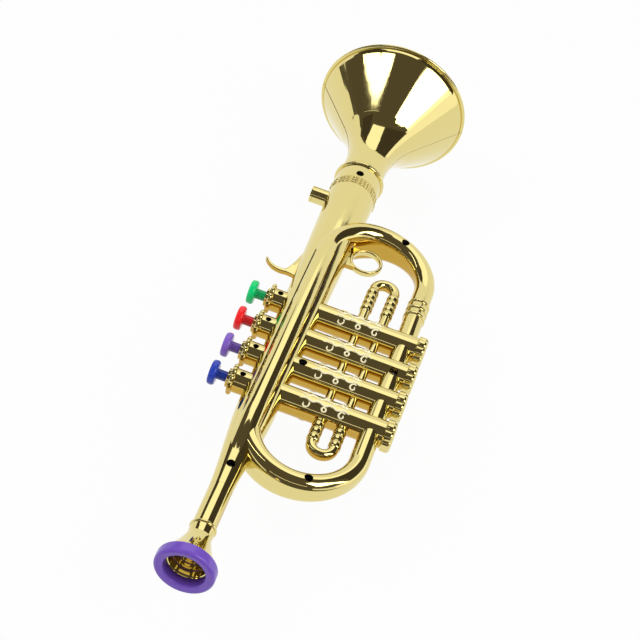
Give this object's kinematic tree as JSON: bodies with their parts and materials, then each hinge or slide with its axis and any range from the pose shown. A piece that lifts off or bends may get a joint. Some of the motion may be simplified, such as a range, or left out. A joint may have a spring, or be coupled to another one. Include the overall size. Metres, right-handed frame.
{
  "type": "toy trumpet",
  "caption": "Toy trumpet in gold-finished plastic: flared bell, looped tube, sprung coloured buttons, beaded slides, finger ring and hook.",
  "frame": {"origin": "middle of the bounding box's bottom, with the trumpet on its side and the bell's rim on the ground", "axes": "+X from the mouthpiece to the bell, +Y towards the buttons, +Z towards the front, the side with the screw wells"},
  "size_m": [0.366, 0.11, 0.086],
  "materials": {
    "gold": "vacuum-metallised gold, mirror bright",
    "soft_purple": "soft satin plastic",
    "white_plastic": "plain moulded",
    "brass": "bare",
    "steel": "zinc plated",
    "rubber": "matte",
    "blue_plastic": "glossy moulded",
    "purple_plastic": "glossy moulded",
    "red_plastic": "glossy moulded",
    "green_plastic": "glossy moulded"
  },
  "bodies": {
    "trumpet": {"front_shell": "gold", "back_shell": "gold", "bell_front_half": "gold", "bell_back_half": "gold", "mouthpiece": "gold", "mouthpiece_ring": "soft_purple", "valve_spring_1": "steel", "valve_spring_2": "steel", "valve_spring_3": "steel", "valve_spring_4": "steel", "reed_tray": "white_plastic", "reed_block": "white_plastic", "reed_plate": "brass", "reed_1": "brass", "reed_2": "brass", "reed_3": "brass", "reed_4": "brass", "screw_1": "steel", "screw_2": "steel", "screw_3": "steel", "screw_4": "steel", "screw_5": "steel", "screw_6": "steel"},
    "valve_1": {"button_blue": "blue_plastic", "valve_pad_1": "rubber"},
    "valve_2": {"button_purple": "purple_plastic", "valve_pad_2": "rubber"},
    "valve_3": {"button_red": "red_plastic", "valve_pad_3": "rubber"},
    "valve_4": {"button_green": "green_plastic", "valve_pad_4": "rubber"}
  },
  "joints": [
    {"name": "press_blue", "type": "slide", "parent": "trumpet", "child": "valve_1", "axis": [0, -1, 0], "range_m": [0, 0.0035], "stiffness_N_per_m": 150, "springref_m": -0.003, "deforming": ["valve_spring_1"]},
    {"name": "press_purple", "type": "slide", "parent": "trumpet", "child": "valve_2", "axis": [0, -1, 0], "range_m": [0, 0.0035], "stiffness_N_per_m": 150, "springref_m": -0.003, "deforming": ["valve_spring_2"]},
    {"name": "press_red", "type": "slide", "parent": "trumpet", "child": "valve_3", "axis": [0, -1, 0], "range_m": [0, 0.0035], "stiffness_N_per_m": 150, "springref_m": -0.003, "deforming": ["valve_spring_3"]},
    {"name": "press_green", "type": "slide", "parent": "trumpet", "child": "valve_4", "axis": [0, -1, 0], "range_m": [0, 0.0035], "stiffness_N_per_m": 150, "springref_m": -0.003, "deforming": ["valve_spring_4"]}
  ]
}
